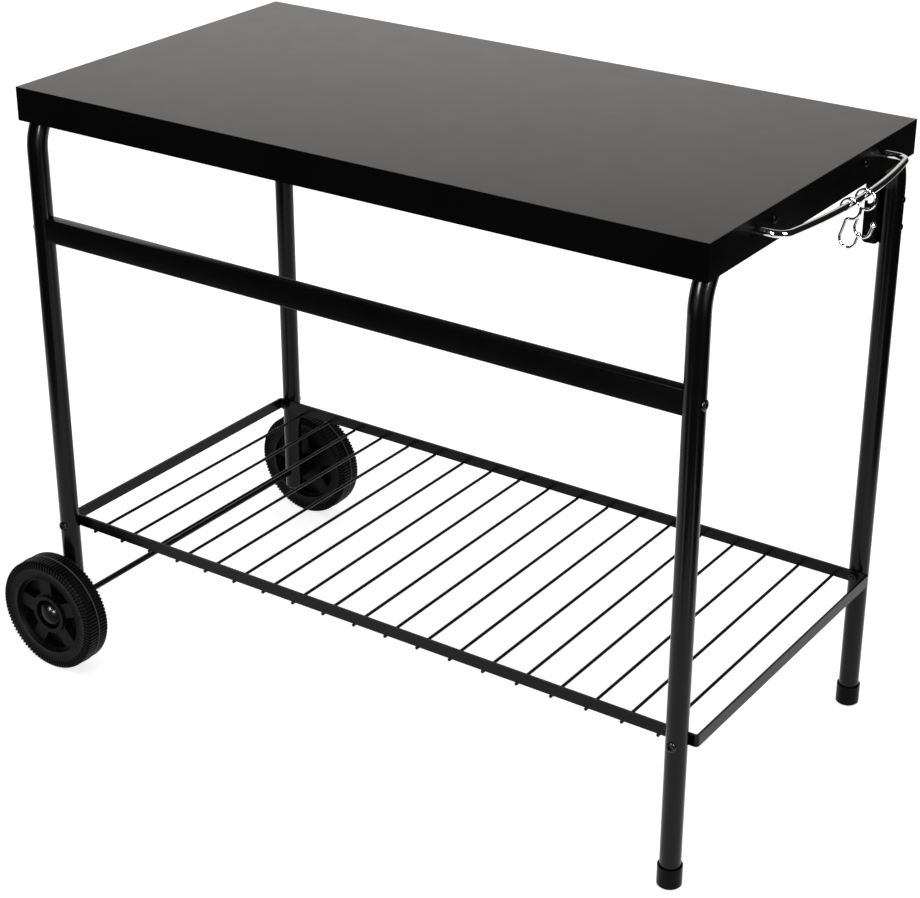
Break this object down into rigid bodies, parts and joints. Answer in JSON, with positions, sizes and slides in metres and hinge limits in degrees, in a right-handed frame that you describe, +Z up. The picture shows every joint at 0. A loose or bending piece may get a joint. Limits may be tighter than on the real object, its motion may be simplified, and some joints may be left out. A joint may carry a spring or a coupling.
{
  "type": "rolling plancha table",
  "caption": "Black metal serving table with a folded sheet top, bent-tube end frames, a wire shelf, a side rail, wheels at one end and a chrome handle with hooks.",
  "frame": {"origin": "on the floor under the middle of the top", "axes": "+X along the top towards the handle, +Y across it away from the rail side, +Z up"},
  "size_m": [1.0533, 0.576, 0.774],
  "materials": {
    "pan_paint": "satin black baked paint",
    "frame_paint": "gloss black powder coat",
    "shelf_paint": "gloss black powder coat",
    "wheel_plastic": "moulded, slightly satin",
    "cap_plastic": "moulded, smooth",
    "chrome": "polished",
    "axle_steel": "blackened",
    "screw_steel": "blackened"
  },
  "bodies": {
    "table": {"top_pan": "pan_paint", "left_end_frame": "frame_paint", "right_end_frame": "frame_paint", "front_rail": "frame_paint", "bottle_opener": "frame_paint", "shelf_frame": "shelf_paint", "shelf_wire_01": "shelf_paint", "shelf_wire_02": "shelf_paint", "shelf_wire_03": "shelf_paint", "shelf_wire_04": "shelf_paint", "shelf_wire_05": "shelf_paint", "shelf_wire_06": "shelf_paint", "shelf_wire_07": "shelf_paint", "shelf_wire_08": "shelf_paint", "shelf_wire_09": "shelf_paint", "shelf_wire_10": "shelf_paint", "shelf_wire_11": "shelf_paint", "shelf_wire_12": "shelf_paint", "shelf_wire_13": "shelf_paint", "shelf_wire_14": "shelf_paint", "shelf_wire_15": "shelf_paint", "shelf_wire_16": "shelf_paint", "shelf_wire_17": "shelf_paint", "shelf_wire_18": "shelf_paint", "shelf_wire_19": "shelf_paint", "hub_cap_front": "cap_plastic", "hub_cap_rear": "cap_plastic", "foot_cap_front": "cap_plastic", "foot_cap_rear": "cap_plastic", "leg_plug_front": "cap_plastic", "leg_plug_rear": "cap_plastic", "rail_insert_left": "cap_plastic", "rail_insert_right": "cap_plastic", "handle": "chrome", "axle": "axle_steel", "axle_washers": "axle_steel", "pan_screws": "screw_steel", "handle_screws": "screw_steel", "rail_screws": "screw_steel", "shelf_screws": "screw_steel", "shelf_nuts": "screw_steel", "opener_screws": "screw_steel", "opener_nuts": "screw_steel"},
    "front_wheel": {"wheel_front": "wheel_plastic"},
    "rear_wheel": {"wheel_rear": "wheel_plastic"},
    "front_hook": {"s_hook_front": "chrome"},
    "rear_hook": {"s_hook_rear": "chrome"}
  },
  "joints": [
    {"name": "front_wheel_spin", "type": "hinge", "parent": "table", "child": "front_wheel", "pos_m": [-0.4508, -0.2705, 0.077], "axis": [0, 1, 0], "continuous": true},
    {"name": "rear_wheel_spin", "type": "hinge", "parent": "table", "child": "rear_wheel", "pos_m": [-0.4508, 0.2705, 0.077], "axis": [0, 1, 0], "continuous": true},
    {"name": "front_hook_swing", "type": "hinge", "parent": "table", "child": "front_hook", "pos_m": [0.51118, -0.025, 0.7598], "axis": [0, -1, 0], "range_deg": [-45, 75]},
    {"name": "rear_hook_swing", "type": "hinge", "parent": "table", "child": "rear_hook", "pos_m": [0.51152, 0.011, 0.7598], "axis": [0, -1, 0], "range_deg": [-45, 75]}
  ]
}
